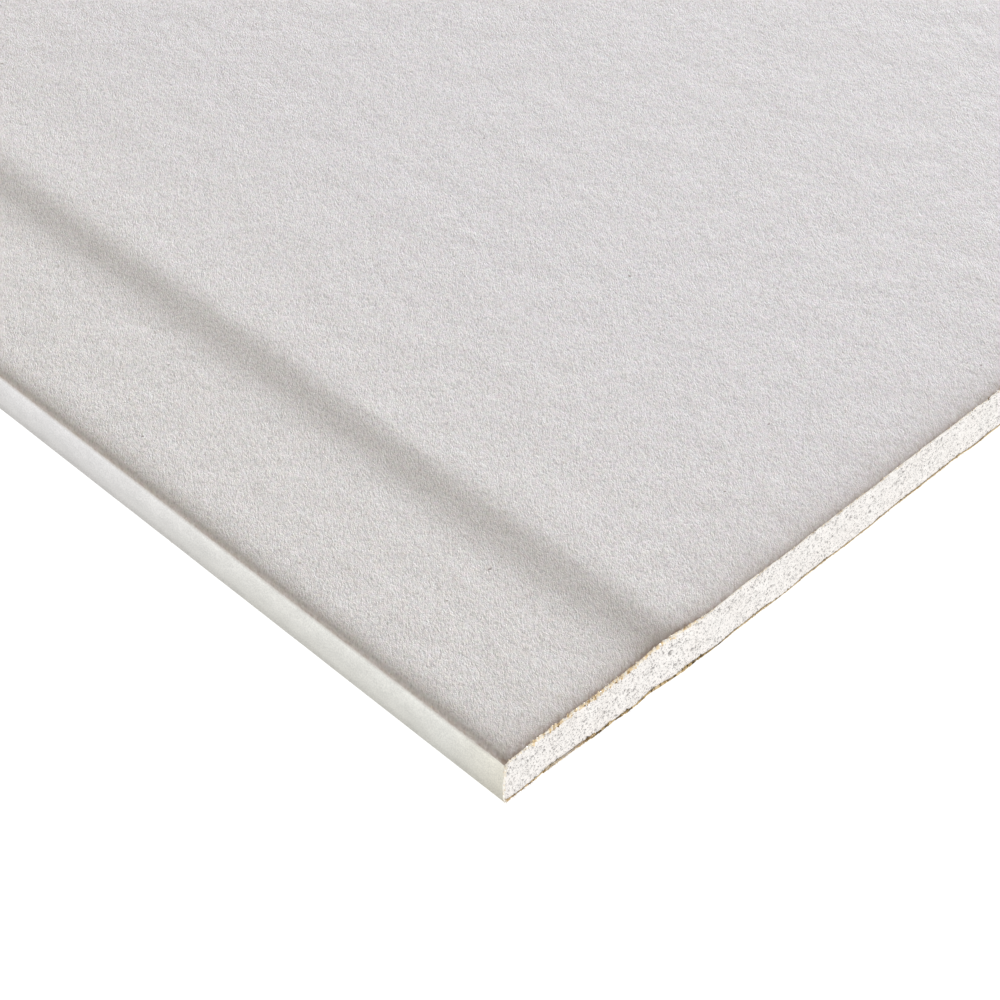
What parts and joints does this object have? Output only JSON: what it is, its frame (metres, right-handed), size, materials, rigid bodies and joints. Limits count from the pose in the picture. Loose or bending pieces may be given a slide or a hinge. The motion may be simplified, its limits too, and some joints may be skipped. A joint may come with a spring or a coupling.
{
  "type": "drywall sheet",
  "caption": "Flat gypsum wallboard sheet with a foamed core between liner papers, tapered paper-wrapped long edges and bare cut ends, for lining walls and ceilings.",
  "frame": {"origin": "centre of the sheet's underside", "axes": "+X along the tapered long edges, +Y across the sheet, +Z from the back paper up to the face paper"},
  "size_m": [2.4, 1.2, 0.0125],
  "materials": {
    "gypsum": "matt white foamed gypsum with small dark pores",
    "face_paper": "matt pale grey liner paper with fine short fibres",
    "back_paper": "matt grey-brown recycled liner paper"
  },
  "bodies": {
    "root": {"gypsum_core": "gypsum", "face_paper": "face_paper", "back_paper": "back_paper"}
  },
  "joints": []
}
